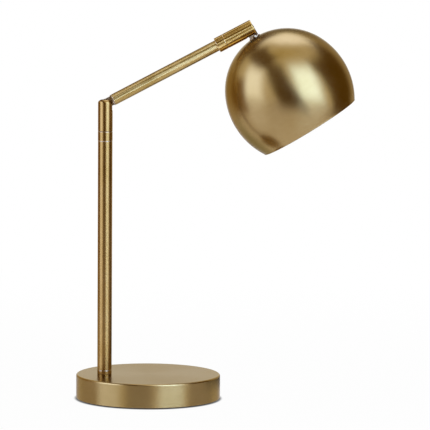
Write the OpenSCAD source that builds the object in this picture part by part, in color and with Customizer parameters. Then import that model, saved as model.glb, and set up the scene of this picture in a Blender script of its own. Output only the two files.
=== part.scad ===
// Dome shade desk lamp: a weighted round base, an offset upright stem, a slotted
// knuckle that swivels and tilts the arm, a second knuckle at the arm's end, and a
// spun dome shade over a small screw lampholder.
// Millimetres. Origin: centre of the base's underside. +X: towards the shade.

/* [Base] */
// Diameter of the round base
base_d = 160; // [140:1:190]
// Height of the base above the table, pad included
base_h = 27.1; // [25:0.1:34]
// Sheet thickness of the spun base cover
cover_wall = 1.2; // [0.8:0.1:1.5]
// Rounding of the cover's top edge
cover_edge_r = 1.9; // [1.6:0.1:3]
// Thickness of the foam pad
pad_t = 2.2; // [1.6:0.1:2.4]
// Height of the pad that shows below the cover
pad_proud = 1.1; // [0.6:0.1:1.4]
// Thickness of the weight's web, which the stem is bolted to
weight_web = 8; // [6:0.1:8.2]
// Width of the rim that the weight stands on
weight_rim_w = 9; // [6:0.5:20]
// Distance from the base's edge to the stem's axis
stem_inset = 31.4; // [28:0.1:44]

/* [Cord inlet] */
// Height of the inlet's centre above the table
inlet_h = 7; // [6.8:0.1:7.4]
// Diameter of the flex inside the lamp
flex_d = 5; // [4:0.1:5.4]
// Bend radius of the flex inside the base
flex_bend_r = 7; // [6:0.1:7.2]
// Diameter of the bush's neck in the cover's hole
bush_neck_d = 7.4; // [6.8:0.1:7.6]
// Diameter of the bush's outer flange
bush_flange_d = 10.4; // [9:0.1:11]
// Thickness of the bush's outer flange
bush_flange_t = 1.8; // [1:0.1:3]
// Diameter of the barb that holds the bush from inside
bush_barb_d = 8.8; // [8:0.1:9]
// Length of the barb
bush_barb_l = 3; // [2:0.1:5]
// Width of the flex notch in the weight's rim
channel_w = 9.6; // [9.4:0.1:11]

/* [Stem] */
// Outside diameter of the stem tube
stem_d = 16; // [15:0.1:18]
// Wall of the stem tube
stem_wall = 1; // [0.8:0.1:1.2]
// Length of the stem tube
stem_len = 255.1; // [200:0.1:320]
// Height of the foot's collar between base and tube
foot_h = 4.1; // [3:0.1:8]
// Length of the foot's spigot inside the tube
foot_spigot_l = 14; // [10:1:24]
// Outside diameter of the hollow threaded nipples
nipple_d = 10; // [9.6:0.1:10.4]
// Bore of the hollow threaded nipples
nipple_bore = 6.6; // [6:0.1:7]
// Length of nipple screwed into the foot
foot_thread_l = 14; // [8:1:18]
// Diameter of the washer under the weight
stem_washer_d = 24; // [20:0.5:25]
// Thickness of the flat washers
washer_t = 1.2; // [1:0.1:1.5]
// Size across flats of the hexagon lock nuts
nut_af = 14; // [13:0.1:17]
// Height of the hexagon lock nuts
nut_h = 3; // [2.5:0.1:3.2]

/* [Head swivel] */
// Diameter of the head and its collar
head_d = 16.2; // [15.8:0.1:18]
// Height of the collar band
head_collar_h = 10.7; // [8:0.1:16]
// Length of the collar's spigot inside the tube
collar_spigot_l = 12; // [8:0.5:20]
// Length of the head knuckle
head_len = 34.9; // [30:0.1:45]
// Rounding of the head's top
head_round_r = 3.8; // [2:0.1:4.5]
// Depth of the nipple's thread in the knuckle
knuckle_thread_l = 9; // [7:0.5:12]
// Diameter of the wire way through the head
head_wire_d = 6.2; // [5.6:0.1:6.6]
// Height of the round nuts
ring_nut_h = 4; // [3:0.1:6]
// Thickness of the spring washers
spring_washer_t = 1; // [0.6:0.1:1.5]
// Turn allowed each way by the stop pin, in degrees
swivel_angle = 160; // [120:1:162]
// Diameter of the stop pins
stop_pin_d = 1.6; // [1.2:0.1:1.7]
// Depth of the stop pins in their collar
stop_pin_l = 3; // [2:0.1:5]

/* [Knuckle] */
// Distance from a knuckle's end to its pivot
knuckle_inset = 4.8; // [4.4:0.1:5.2]
// Width of the slot
slot_w = 6; // [5.8:0.1:6.4]
// Radius of the slot behind the pivot
slot_back_r = 6.6; // [6:0.1:6.8]
// Depth of the slot's floor below the pivot
slot_floor = 7.2; // [6.8:0.1:8]
// Thickness of the tongues
tongue_t = 5; // [4.4:0.1:5.2]
// Radius of a tongue's round end
tongue_r = 5.6; // [5.3:0.1:5.8]
// Width of a tongue's neck
tongue_neck_w = 10.4; // [9:0.1:10.6]
// Width of the wire way inside a tongue
tongue_wire_w = 3.2; // [2.6:0.1:3.4]
// Diameter of the pivot screws
screw_d = 4; // [3.6:0.1:4.2]
// Diameter of a pivot screw's head
screw_head_d = 7; // [6:0.1:7.4]
// Height of a pivot screw's head
screw_head_h = 2.4; // [2:0.1:2.6]
// Depth of a pivot screw's head below the knuckle's side
screw_recess = 0.9; // [0.6:0.1:1.2]
// Diameter of the side washers
side_washer_d = 9.6; // [8.6:0.1:10]

/* [Arm] */
// Rise of the arm above the horizontal, in degrees
arm_angle = 28; // [0:1:88]
// Outside diameter of the arm tube
arm_d = 12.5; // [12:0.1:13.2]
// Wall of the arm tube
arm_wall = 0.9; // [0.7:0.1:1]
// Length of the arm tube
arm_len = 134.9; // [100:0.1:180]
// Distance from the pivot to the shoulder
shoulder_reach = 8.4; // [8.4:0.1:10]
// Thickness of the shoulder
shoulder_t = 1.8; // [1.4:0.1:3]
// Diameter of the shoulder
shoulder_d = 12.4; // [11.5:0.1:12.6]
// Length of the tongue's spigot inside the arm tube
arm_spigot_l = 14; // [10:1:25]
// Diameter of the flex inside the arm
arm_flex_d = 2.8; // [2:0.1:3]

/* [Barrel] */
// Diameter of the barrel and its collar
barrel_d = 17; // [16:0.1:19]
// Length of the collar band
barrel_collar_l = 10.3; // [9:0.1:14]
// Depth of the arm tube in the collar
arm_socket_l = 6; // [5:0.1:6.5]
// Length of the barrel knuckle
barrel_len = 34.3; // [30:0.1:45]
// Rounding of the barrel's end
barrel_round_r = 0.9; // [0.5:0.1:2]
// Diameter of the barrel's nipple
barrel_nipple_d = 7; // [6.6:0.1:7.6]
// Bore of the barrel's nipple
barrel_nipple_bore = 4.4; // [3.8:0.1:4.6]
// Diameter of the round nut inside the arm tube
barrel_nut_d = 10.2; // [9.6:0.1:10.2]

/* [Shade] */
// Fall of the shade's axis below the horizontal, in degrees
shade_angle = 58; // [32:1:62]
// Widest diameter of the shade
shade_d = 140; // [130:1:170]
// Sheet thickness of the shade
shade_wall = 0.8; // [0.6:0.1:1.2]
// Amount by which the side's arc radius exceeds half the diameter
side_ease = 10.2; // [6:0.1:20]
// Amount by which the crown's radius falls short of half the diameter
crown_ease = 1.3; // [0.5:0.1:4]
// Height from the rim to the widest place
skirt_h = 42.5; // [30:0.1:50]
// Diameter of the bead rolled inwards at the rim
rim_bead_d = 1.8; // [1.6:0.1:2.6]
// Diameter of the flat seat at the crown
crown_flat_d = 14; // [13.6:0.1:20]
// Distance from the pivot to the crown's seat
shade_reach = 11.6; // [11.4:0.1:16]
// Diameter of the neck's round stub
neck_d = 9; // [8.4:0.1:10]
// Distance from the pivot to the stub
neck_reach = 9.6; // [9.5:0.1:9.9]
// Diameter of the neck's flange
neck_flange_d = 13; // [12:0.1:13.4]
// Thickness of the neck's flange
neck_flange_t = 1.2; // [1:0.1:1.5]

/* [Lampholder and bulb] */
// Outside diameter of the holder's metal cup
cup_d = 34; // [30:0.5:44]
// Height of the cup
cup_h = 42; // [30:0.5:50]
// Sheet thickness of the cup
cup_wall = 0.8; // [0.6:0.1:1]
// Rounding of the cup's shoulder
cup_shoulder_r = 6; // [4:0.1:8]
// Outside diameter of the holder's body
holder_d = 25; // [24:0.1:28]
// Wall of the holder's skirt
holder_wall = 2.2; // [1.8:0.1:2.6]
// Length of the holder's body
holder_l = 42; // [40:0.5:48]
// Length of the holder's threaded entry
holder_entry_l = 9; // [8:0.1:10]
// Thickness of the holder's insulating core
core_t = 6; // [5:0.1:7]
// Outside diameter of the holder's screw shell
shell_d = 15.4; // [15.2:0.1:16]
// Sheet thickness of the holder's screw shell
shell_wall = 0.5; // [0.4:0.1:0.6]
// Length of the holder's screw shell
shell_l = 22; // [18:0.5:24]
// Diameter of the bulb's cap
cap_d = 13.9; // [13.5:0.1:14]
// Length of the bulb's cap
cap_l = 20; // [17:0.5:22]
// Diameter of the bulb's globe
bulb_d = 45; // [35:1:60]
// Length of the glass beyond the cap
glass_l = 51; // [48:1:64]
// Wall of the bulb's glass
glass_wall = 1; // [0.8:0.1:1.2]

/* [Fits] */
// Gap all round between a pressed or screwed piece and its seat
seat_gap = 0.02; // [0.01:0.01:0.05]
// Radial clearance of a pin or nipple that turns in its bore
run_gap = 0.05; // [0.02:0.01:0.09]
// Gap between the faces of the two halves of a swivel
swivel_gap = 0.1; // [0.05:0.01:0.2]
// Gap round the weight and the pad inside the cover
cover_gap = 0.2; // [0.1:0.05:0.4]
// Chamfer at the ends of tubes, collars and knuckles
edge_c = 0.4; // [0.2:0.1:0.6]

/* [Hidden] */
$fn = 96;
// Overshoot of a cut past the face it opens
cut = 1;

// Where the inner flexes end, short of the knuckles' slots
flex_end = 0.6;
// Thread that shows past a tightened nut
thread_show = 0.6;
// Stop pins: height above their collar, side room and head room in the groove
pin_show = 1.4;
pin_side = 0.1;
pin_top = 0.4;
// Pivot screws: wall left in front of the blind hole, room at the tip, hexagon socket
blind_wall = 1.2;
tip_room = 0.3;
socket_af = 2.5;
socket_l = 1.6;
// Driving slots of the round nuts
drive_w = 1.6;
drive_h = 1.2;

// The base: distance from its centre to the stem, and its heights
stem_offset = base_d / 2 - stem_inset;
cover_in_r = base_d / 2 - cover_wall;
weight_top = base_h - cover_wall;
web_z = weight_top - weight_web;
stem_nut_z = web_z - washer_t - nut_h;

// Heights up the stem
tube_z = base_h + foot_h;
tube_in_d = stem_d - 2 * stem_wall;
swivel_z = tube_z + stem_len + head_collar_h;
pivot_z = swivel_z + swivel_gap + head_len - knuckle_inset;
stem_flex_top = pivot_z - slot_floor - flex_end;
head_pin_r = (head_d + nipple_d) / 4;
head_stack = head_collar_h + collar_spigot_l;

// Stations along the arm, from the head's pivot
tube_s = shoulder_reach + shoulder_t;
arm_in_d = arm_d - 2 * arm_wall;
collar_s = tube_s + arm_len - arm_socket_l;
barrel_s = collar_s + barrel_collar_l;
shade_s = barrel_s + swivel_gap + barrel_len - knuckle_inset;
barrel_pin_r = (barrel_d + barrel_nipple_d) / 4;
barrel_stack = barrel_collar_l - arm_socket_l;
side_washer_t = (slot_w - tongue_t) / 2 - run_gap;
// The wire way's start, with solid metal between it and the pivot bore
bore_wall = 2.9;
wire_start = screw_d / 2 + bore_wall;

// The shade's outline: a long arc for the side runs into a round crown
side_r = shade_d / 2 + side_ease;
crown_r = shade_d / 2 - crown_ease;
crown_shift = sqrt(pow(side_r - crown_r, 2) - pow(side_ease, 2));
blend_angle = atan2(crown_shift, side_ease);
chord_angle = 3;
crown_z = shade_reach + sqrt(pow(crown_r, 2) - pow(crown_flat_d / 2, 2));
widest_z = crown_z + crown_shift;
rim_z = widest_z + skirt_h;

// Lampholder's skirt, and the contacts of holder and bulb
holder_in_d = holder_d - 2 * holder_wall;
rivet_d = 3;
contact_d = 5;
tip_l = 2;
contact_l = 1;
insulator_l = 3;
cap_wall = 0.5;

// Stations down the shade's axis, from its pivot
holder_washer_z = shade_reach + shade_wall;
cup_z = holder_washer_z + washer_t;
holder_nut_z = cup_z + cup_wall;
holder_z = holder_nut_z + nut_h;
core_z = holder_z + holder_entry_l;
shell_z = core_z + core_t;
tip_z = shell_z + tip_l;
insulator_z = tip_z + contact_l;
cap_z = insulator_z + insulator_l;
glass_z = cap_z + cap_l;
globe_z = glass_z + glass_l - bulb_d / 2;

// Places the stem's axis at the parting face of the head's swivel.
module at_head_swivel() translate([-stem_offset, 0, swivel_z]) children();

// Turns +Z along the arm, a distance s from the head's pivot; +X faces down.
module along_arm(s = 0)
    translate([-stem_offset, 0, pivot_z])
        rotate([0, 90 - arm_angle, 0]) translate([0, 0, s]) children();

// Turns +Z down the shade's axis from its pivot; +X faces back towards the arm.
module down_shade()
    along_arm(shade_s) rotate([0, arm_angle + shade_angle, 0]) children();

// Tube standing on the origin with chamfered outer edges.
module tube(d, bore, length, c = edge_c) {
    rotate_extrude() polygon([
        [bore / 2, 0], [d / 2 - c, 0], [d / 2, c],
        [d / 2, length - c], [d / 2 - c, length], [bore / 2, length]
    ]);
}

// Flat washer.
module washer(d, bore, t) {
    difference() {
        cylinder(d = d, h = t);
        translate([0, 0, -cut]) cylinder(d = bore, h = t + 2 * cut);
    }
}

// Hexagon nut with its flats on a turned corner chamfer.
module hex_nut(af, bore, h) {
    c = 0.5;
    difference() {
        intersection() {
            cylinder(d = af / cos(30), h = h, $fn = 6);
            rotate_extrude() polygon([
                [0, 0], [af / 2, 0], [af / 2 + 2 * c, c],
                [af / 2 + 2 * c, h - c], [af / 2, h], [0, h]
            ]);
        }
        translate([0, 0, -cut]) cylinder(d = bore, h = h + 2 * cut);
    }
}

// Round nut with two driving slots in its lower face.
module ring_nut(d, bore, h) {
    difference() {
        tube(d, bore, h);
        translate([-d, -drive_w / 2, -cut]) cube([2 * d, drive_w, cut + drive_h]);
    }
}

// Solid rod outline with a rounded top and a chamfered foot, for turning.
module rod_outline(r, length, round_r) {
    difference() {
        union() {
            square([r - round_r, length]);
            square([r, length - round_r]);
            translate([r - round_r, length - round_r]) intersection() {
                circle(r = round_r);
                square(round_r);
            }
        }
        polygon([[r - edge_c, -cut], [r - edge_c, 0], [r, edge_c], [r + cut, edge_c], [r + cut, -cut]]);
    }
}

// Side view of a knuckle's slot about its pivot: open to the end and to +X.
module slot_outline(reach) {
    circle(r = slot_back_r);
    translate([-slot_back_r, 0]) square([slot_back_r + reach, reach]);
    translate([0, -slot_floor]) square([reach, slot_floor + cut]);
}

// Turned knuckle standing on its swivel face, slotted across for a tongue.
module knuckle(d, length, round_r, thread_d, wire_d, pin_r) {
    pivot = length - knuckle_inset;
    head_y = d / 2 - screw_recess - screw_head_h;
    tip_y = d / 2 - blind_wall;
    groove_half = swivel_angle + asin((stop_pin_d / 2 + pin_side) / pin_r) + 0.5;
    difference() {
        rotate_extrude() rod_outline(d / 2, length, round_r);
        translate([0, slot_w / 2, pivot]) rotate([90, 0, 0])
            linear_extrude(slot_w) slot_outline(d);
        translate([0, 0, -cut]) cylinder(d = thread_d, h = knuckle_thread_l + cut);
        cylinder(d = wire_d, h = pivot - slot_floor + cut);
        // Screw hole: through the rear cheek, blind in the front one.
        translate([0, 0, pivot]) rotate([-90, 0, 0]) {
            translate([0, 0, -tip_y]) cylinder(d = screw_d + 2 * seat_gap, h = tip_y + d);
            translate([0, 0, head_y]) cylinder(d = screw_head_d + 2 * seat_gap, h = d);
        }
        // Curved groove that the stop pin runs in.
        translate([0, 0, -cut]) rotate(180 - groove_half)
            rotate_extrude(angle = 2 * groove_half)
                translate([pin_r - stop_pin_d / 2 - pin_side, 0])
                    square([stop_pin_d + 2 * pin_side, cut + pin_show + pin_top]);
    }
}

// Collar band below a swivel's parting face, with the stop pin's hole.
module swivel_collar(d, length, bore, pin_r) {
    difference() {
        translate([0, 0, -length]) tube(d, bore, length);
        translate([-pin_r, 0, -stop_pin_l]) cylinder(d = stop_pin_d + 2 * seat_gap, h = stop_pin_l + cut);
    }
}

module stop_pin(pin_r)
    translate([-pin_r, 0, -stop_pin_l]) cylinder(d = stop_pin_d, h = stop_pin_l + pin_show);

// Hollow nipple from inside a knuckle, down through a stack, to its washer and nut.
module swivel_nipple(d, bore, stack) {
    low = stack + spring_washer_t + ring_nut_h + thread_show;
    translate([0, 0, -low]) tube(d, bore, low + swivel_gap + knuckle_thread_l - 0.3);
}

// Two thin washers that line a slot.
module side_washers()
    for (side = [-1, 1])
        translate([0, side * (slot_w / 2 - side_washer_t / 2), 0]) rotate([90, 0, 0])
            translate([0, 0, -side_washer_t / 2])
                washer(side_washer_d, screw_d + 2 * run_gap, side_washer_t);

// Socket head screw along Y, entered from behind.
module pivot_screw(d) {
    head_y = d / 2 - screw_recess - screw_head_h;
    tip_y = d / 2 - blind_wall - tip_room;
    rotate([-90, 0, 0]) difference() {
        union() {
            translate([0, 0, -tip_y]) cylinder(d = screw_d, h = tip_y + head_y + cut);
            translate([0, 0, head_y]) tube(screw_head_d, 0, screw_head_h, 0.3);
        }
        translate([0, 0, head_y + screw_head_h - socket_l])
            cylinder(d = socket_af / cos(30), h = socket_l + cut, $fn = 6);
    }
}

// Flat tongue with a round end about the pivot and a neck that runs to reach.
module tongue_blank(reach)
    rotate([90, 0, 0]) translate([0, 0, -tongue_t / 2]) linear_extrude(tongue_t) {
        circle(r = tongue_r);
        translate([-tongue_neck_w / 2, 0]) square([tongue_neck_w, reach]);
    }

// Pivot bore and the wire way, which leaves the neck on its +X side.
module tongue_cuts(reach, length) {
    rotate([90, 0, 0]) translate([0, 0, -tongue_t]) cylinder(d = screw_d + 2 * run_gap, h = 2 * tongue_t);
    translate([0, 0, wire_start]) cylinder(d = tongue_wire_w, h = length);
    translate([0, -tongue_wire_w / 2, wire_start])
        cube([tongue_neck_w, tongue_wire_w, reach - wire_start - edge_c]);
}

// ---- Base -------------------------------------------------------------------

module base_pad() color([0.06, 0.06, 0.06])
    tube(2 * (cover_in_r - 2 * cover_gap), 0, pad_t, 0.3);

// Cast disc: a web under the cover and a rim down to the pad, notched for the flex.
module base_weight() color([0.32, 0.32, 0.33]) {
    r = cover_in_r - cover_gap;
    difference() {
        translate([0, 0, pad_t])
            tube(2 * r, 0, weight_top - pad_t, cover_edge_r - cover_wall + edge_c);
        cylinder(r1 = r - weight_rim_w + 1, r2 = r - weight_rim_w, h = web_z);
        translate([-stem_offset, 0, 0]) cylinder(d = nipple_d + 2 * cover_gap, h = base_h);
        translate([-channel_w / 2, 0, 0]) cube([channel_w, base_d, inlet_h + channel_w / 2]);
    }
}

module cover_outline(inset) {
    r = base_d / 2 - inset;
    top = base_h - inset;
    edge = cover_edge_r - inset;
    square([r - edge, top]);
    square([r, top - edge]);
    translate([r - edge, top - edge]) intersection() {
        circle(r = edge);
        square(edge);
    }
}

module base_cover() color([0.69, 0.58, 0.38])
    difference() {
        rotate_extrude() difference() {
            cover_outline(0);
            cover_outline(cover_wall);
            square([base_d, pad_proud]);
        }
        translate([-stem_offset, 0, weight_top - cut])
            cylinder(d = nipple_d + 2 * cover_gap, h = 3 * cut + cover_wall);
        translate([0, 0, inlet_h]) rotate([-90, 0, 0]) cylinder(d = bush_neck_d + 2 * seat_gap, h = base_d);
    }

// Grommet snapped in the cover's rear wall: flange, neck, and a tapered barb.
module cord_bush() color([0.05, 0.05, 0.05])
    translate([0, base_d / 2 - cover_wall, inlet_h]) rotate([-90, 0, 0])
        rotate_extrude() polygon([
            [flex_d / 2 + 0.1, -bush_barb_l], [bush_neck_d / 2 - 0.3, -bush_barb_l],
            [bush_barb_d / 2, -0.8], [bush_barb_d / 2, -0.2], [bush_neck_d / 2, -0.2],
            [bush_neck_d / 2, cover_wall], [bush_flange_d / 2, cover_wall],
            [bush_flange_d / 2, cover_wall + bush_flange_t - 0.5],
            [bush_flange_d / 2 - 0.5, cover_wall + bush_flange_t],
            [flex_d / 2 + 0.4, cover_wall + bush_flange_t],
            [flex_d / 2 + 0.1, cover_wall + bush_flange_t - 0.3]
        ]);

// ---- Stem -------------------------------------------------------------------

// Turned foot: the band that shows, and a spigot that the tube is pressed over.
module stem_foot() color([0.69, 0.56, 0.34])
    translate([-stem_offset, 0, base_h]) {
        tube(stem_d, nipple_d + 2 * seat_gap, foot_h);
        translate([0, 0, foot_h - edge_c])
            tube(tube_in_d - 2 * seat_gap, nipple_d + 2 * seat_gap, foot_spigot_l + edge_c);
    }

module stem_nipple() color([0.75, 0.75, 0.72])
    translate([-stem_offset, 0, stem_nut_z - thread_show])
        tube(nipple_d, nipple_bore, base_h + foot_thread_l - stem_nut_z + thread_show);

module stem_washer() color([0.75, 0.75, 0.72])
    translate([-stem_offset, 0, web_z - washer_t])
        washer(stem_washer_d, nipple_d + 2 * cover_gap, washer_t);

module stem_nut() color([0.75, 0.75, 0.72])
    translate([-stem_offset, 0, stem_nut_z]) hex_nut(nut_af, nipple_d + 2 * seat_gap, nut_h);

module stem_tube() color([0.69, 0.56, 0.34])
    translate([-stem_offset, 0, tube_z]) tube(stem_d, tube_in_d, stem_len);

// Flex from the inlet, across under the weight's web, and up the stem to the head.
module stem_flex() color([0.1, 0.1, 0.1]) {
    r = flex_bend_r;
    start_y = base_d / 2 - cover_wall;
    translate([0, r, inlet_h]) rotate([-90, 0, 0]) cylinder(d = flex_d, h = start_y - r);
    translate([-r, r, inlet_h]) rotate(-90) rotate_extrude(angle = 90) translate([r, 0]) circle(d = flex_d);
    translate([r - stem_offset, 0, inlet_h]) rotate([0, 90, 0]) cylinder(d = flex_d, h = stem_offset - 2 * r);
    translate([r - stem_offset, 0, inlet_h + r]) rotate([90, 0, 0]) rotate(180)
        rotate_extrude(angle = 90) translate([r, 0]) circle(d = flex_d);
    translate([-stem_offset, 0, inlet_h + r]) cylinder(d = flex_d, h = stem_flex_top - inlet_h - r);
}

// ---- Head: swivels on the stem, carries the arm's pivot -----------------------

module head_collar() color([0.69, 0.56, 0.34]) at_head_swivel() {
    swivel_collar(head_d, head_collar_h, nipple_d + 2 * run_gap, head_pin_r);
    translate([0, 0, -head_stack])
        tube(tube_in_d - 2 * seat_gap, nipple_d + 2 * run_gap, collar_spigot_l + edge_c);
}

module head_stop_pin() color([0.75, 0.75, 0.72]) at_head_swivel() stop_pin(head_pin_r);

module head_nipple() color([0.75, 0.75, 0.72]) at_head_swivel()
    swivel_nipple(nipple_d, nipple_bore, head_stack);

module head_spring_washer() color([0.6, 0.6, 0.58]) at_head_swivel()
    translate([0, 0, -head_stack - spring_washer_t])
        washer(tube_in_d - 1, nipple_d + 2 * run_gap, spring_washer_t);

module head_ring_nut() color([0.75, 0.75, 0.72]) at_head_swivel()
    translate([0, 0, -head_stack - spring_washer_t - ring_nut_h])
        ring_nut(tube_in_d - 1, nipple_d + 2 * seat_gap, ring_nut_h);

module head_knuckle() color([0.69, 0.56, 0.34]) at_head_swivel() translate([0, 0, swivel_gap])
    knuckle(head_d, head_len, head_round_r, nipple_d + 2 * seat_gap, head_wire_d, head_pin_r);

module head_side_washers() color([0.85, 0.84, 0.8])
    translate([-stem_offset, 0, pivot_z]) side_washers();

module head_pivot_screw() color([0.69, 0.56, 0.34])
    translate([-stem_offset, 0, pivot_z]) pivot_screw(head_d);

// ---- Arm --------------------------------------------------------------------

module arm_tongue() color([0.62, 0.52, 0.34]) along_arm()
    difference() {
        union() {
            tongue_blank(shoulder_reach + edge_c);
            translate([0, 0, shoulder_reach]) tube(shoulder_d, 0, shoulder_t);
            translate([0, 0, tube_s - edge_c])
                tube(arm_in_d - 2 * seat_gap, 0, arm_spigot_l + edge_c);
        }
        tongue_cuts(shoulder_reach, tube_s + arm_spigot_l);
    }

module arm_tube() color([0.69, 0.56, 0.34]) along_arm(tube_s) tube(arm_d, arm_in_d, arm_len);

module arm_flex() color([0.1, 0.1, 0.1]) along_arm(wire_start + flex_end)
    cylinder(d = arm_flex_d, h = shade_s - slot_floor - wire_start - 2 * flex_end);

// ---- Barrel: swivels on the arm, carries the shade's pivot --------------------

module barrel_collar() color([0.69, 0.56, 0.34]) along_arm(barrel_s)
    difference() {
        swivel_collar(barrel_d, barrel_collar_l, barrel_nipple_d + 2 * run_gap, barrel_pin_r);
        translate([0, 0, -barrel_collar_l - cut]) cylinder(d = arm_d + 2 * seat_gap, h = arm_socket_l + cut);
    }

module barrel_stop_pin() color([0.75, 0.75, 0.72]) along_arm(barrel_s) stop_pin(barrel_pin_r);

module barrel_nipple() color([0.75, 0.75, 0.72]) along_arm(barrel_s)
    swivel_nipple(barrel_nipple_d, barrel_nipple_bore, barrel_stack);

module barrel_spring_washer() color([0.6, 0.6, 0.58]) along_arm(barrel_s - barrel_stack - spring_washer_t)
    washer(barrel_nut_d, barrel_nipple_d + 2 * run_gap, spring_washer_t);

module barrel_ring_nut() color([0.75, 0.75, 0.72])
    along_arm(barrel_s - barrel_stack - spring_washer_t - ring_nut_h)
        ring_nut(barrel_nut_d, barrel_nipple_d + 2 * seat_gap, ring_nut_h);

module barrel_knuckle() color([0.69, 0.56, 0.34]) along_arm(barrel_s + swivel_gap)
    knuckle(barrel_d, barrel_len, barrel_round_r, barrel_nipple_d + 2 * seat_gap,
        barrel_nipple_bore, barrel_pin_r);

module barrel_side_washers() color([0.85, 0.84, 0.8]) along_arm(shade_s) side_washers();

module barrel_pivot_screw() color([0.69, 0.56, 0.34]) along_arm(shade_s) pivot_screw(barrel_d);

// ---- Shade ------------------------------------------------------------------

// Neck: tongue, round stub, flange, and a hollow threaded end for the lampholder.
module shade_tongue() color([0.5, 0.45, 0.33]) down_shade()
    difference() {
        union() {
            tongue_blank(neck_reach + edge_c);
            translate([0, 0, neck_reach - 0.2])
                cylinder(d = neck_d, h = shade_reach - neck_reach);
            translate([0, 0, shade_reach - neck_flange_t]) tube(neck_flange_d, 0, neck_flange_t, 0.3);
            translate([0, 0, shade_reach - edge_c])
                tube(nipple_d, 0, holder_z + holder_entry_l - 1 - shade_reach + edge_c);
        }
        tongue_cuts(neck_reach, rim_z);
        translate([0, 0, shade_reach]) cylinder(d = barrel_nipple_bore, h = rim_z);
    }

// The dome's two arcs as short chords, moved inwards by inset; both keep their centres.
function crown_arc(inset) =
    let (r = crown_r - inset)
    let (from = acos((crown_z - shade_reach - inset) / r), to = 90 - blend_angle)
    let (n = ceil((to - from) / chord_angle))
    [for (k = [0:n]) let (t = from + (to - from) * k / n) [r * sin(t), crown_z - r * cos(t)]];
function side_arc(inset, low) =
    let (r = side_r - inset)
    let (from = -blend_angle, to = asin((low - widest_z) / r))
    let (n = ceil((to - from) / chord_angle))
    [for (k = [1:n]) let (t = from + (to - from) * k / n) [r * cos(t) - side_ease, widest_z + r * sin(t)]];

// Half section of the dome: flat seat, crown and side.
module dome_outline(inset, low)
    polygon(concat([[0, shade_reach + inset]], crown_arc(inset), side_arc(inset, low), [[0, low]]));

module shade_dome() color([0.72, 0.6, 0.38]) down_shade() {
    bead_z = rim_z - rim_bead_d / 2;
    bead_r = sqrt(pow(side_r, 2) - pow(bead_z - widest_z, 2)) - side_ease - rim_bead_d / 2;
    difference() {
        rotate_extrude($fn = 180) {
            difference() {
                dome_outline(0, bead_z);
                dome_outline(shade_wall, rim_z);
            }
            translate([bead_r, bead_z]) circle(d = rim_bead_d, $fn = 24);
        }
        translate([0, 0, shade_reach - cut])
            cylinder(d = nipple_d + 2 * cover_gap, h = shade_wall + 2 * cut);
    }
}

// ---- Lampholder and bulb ------------------------------------------------------

// Pressed metal cup that hides the holder.
module cup_outline(inset, low) {
    r = cup_d / 2 - inset;
    edge = cup_shoulder_r - inset;
    translate([0, cup_shoulder_r]) square([r, low - cup_shoulder_r]);
    translate([0, inset]) square([r - edge, edge]);
    translate([r - edge, cup_shoulder_r]) intersection() {
        circle(r = edge);
        translate([0, -edge]) square(edge);
    }
}

module holder_cup() color([0.72, 0.6, 0.38]) down_shade() translate([0, 0, cup_z])
    difference() {
        rotate_extrude() difference() {
            cup_outline(0, cup_h);
            cup_outline(cup_wall, cup_h + cut);
        }
        translate([0, 0, -cut]) cylinder(d = nipple_d + 2 * cover_gap, h = cup_wall + 2 * cut);
    }

module holder_washer() color([0.75, 0.75, 0.72]) down_shade() translate([0, 0, holder_washer_z])
    washer(crown_flat_d - 1, nipple_d + 2 * cover_gap, washer_t);

module holder_nut() color([0.75, 0.75, 0.72]) down_shade() translate([0, 0, holder_nut_z])
    hex_nut(nut_af, nipple_d + 2 * seat_gap, nut_h);

// Moulded body: threaded entry above, an open skirt round the screw shell below.
module holder_body() color([0.04, 0.04, 0.04]) down_shade() translate([0, 0, holder_z])
    difference() {
        tube(holder_d, nipple_d + 2 * seat_gap, holder_l, 1);
        translate([0, 0, holder_entry_l]) cylinder(d = holder_in_d, h = holder_l);
    }

module holder_core() color([0.9, 0.89, 0.86]) down_shade() translate([0, 0, core_z])
    washer(holder_in_d - 2 * cover_gap, rivet_d + 2 * seat_gap, core_t);

module holder_shell() color([0.8, 0.65, 0.3]) down_shade() translate([0, 0, shell_z])
    difference() {
        tube(shell_d, contact_d + 1, shell_l, 0.2);
        translate([0, 0, shell_wall]) cylinder(d = shell_d - 2 * shell_wall, h = shell_l);
    }

// Centre contact: a rivet through the core with a domed head for the bulb's tip.
module holder_contact() color([0.8, 0.65, 0.3]) down_shade() {
    translate([0, 0, core_z]) cylinder(d = rivet_d, h = core_t);
    translate([0, 0, shell_z]) tube(contact_d, 0, tip_l, 0.4);
}

module holder_flex() color([0.1, 0.1, 0.1]) down_shade() translate([0, 0, wire_start + flex_end])
    cylinder(d = arm_flex_d, h = core_z - wire_start - flex_end);

module bulb_cap() color([0.8, 0.8, 0.78]) down_shade() translate([0, 0, cap_z])
    tube(cap_d, cap_d - 2 * cap_wall, cap_l, 0.2);

module bulb_insulator() color([0.08, 0.08, 0.08]) down_shade() translate([0, 0, insulator_z])
    cylinder(d1 = contact_d + 1, d2 = cap_d - 0.4, h = insulator_l);

module bulb_contact() color([0.8, 0.8, 0.78]) down_shade() translate([0, 0, tip_z])
    tube(contact_d, 0, contact_l, 0.3);

// Globe bulb outline: a sphere with a straight neck flank tangent to it.
module globe_outline(inset) {
    neck_r = cap_d / 2 - 0.6;
    rise = globe_z - glass_z;
    tilt = atan2(rise, neck_r) - acos(bulb_d / 2 / norm([rise, neck_r]));
    r = bulb_d / 2 - inset;
    intersection() {
        translate([0, globe_z]) circle(r = r);
        translate([0, globe_z - r * sin(tilt)]) square([r, 2 * r]);
    }
    polygon([
        [0, glass_z], [(r - rise * sin(tilt)) / cos(tilt), glass_z],
        [r * cos(tilt), globe_z - r * sin(tilt)], [0, globe_z - r * sin(tilt)]
    ]);
}

module bulb_globe() color([0.97, 0.96, 0.92]) down_shade()
    rotate_extrude() difference() {
        globe_outline(0);
        globe_outline(glass_wall);
    }

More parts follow.
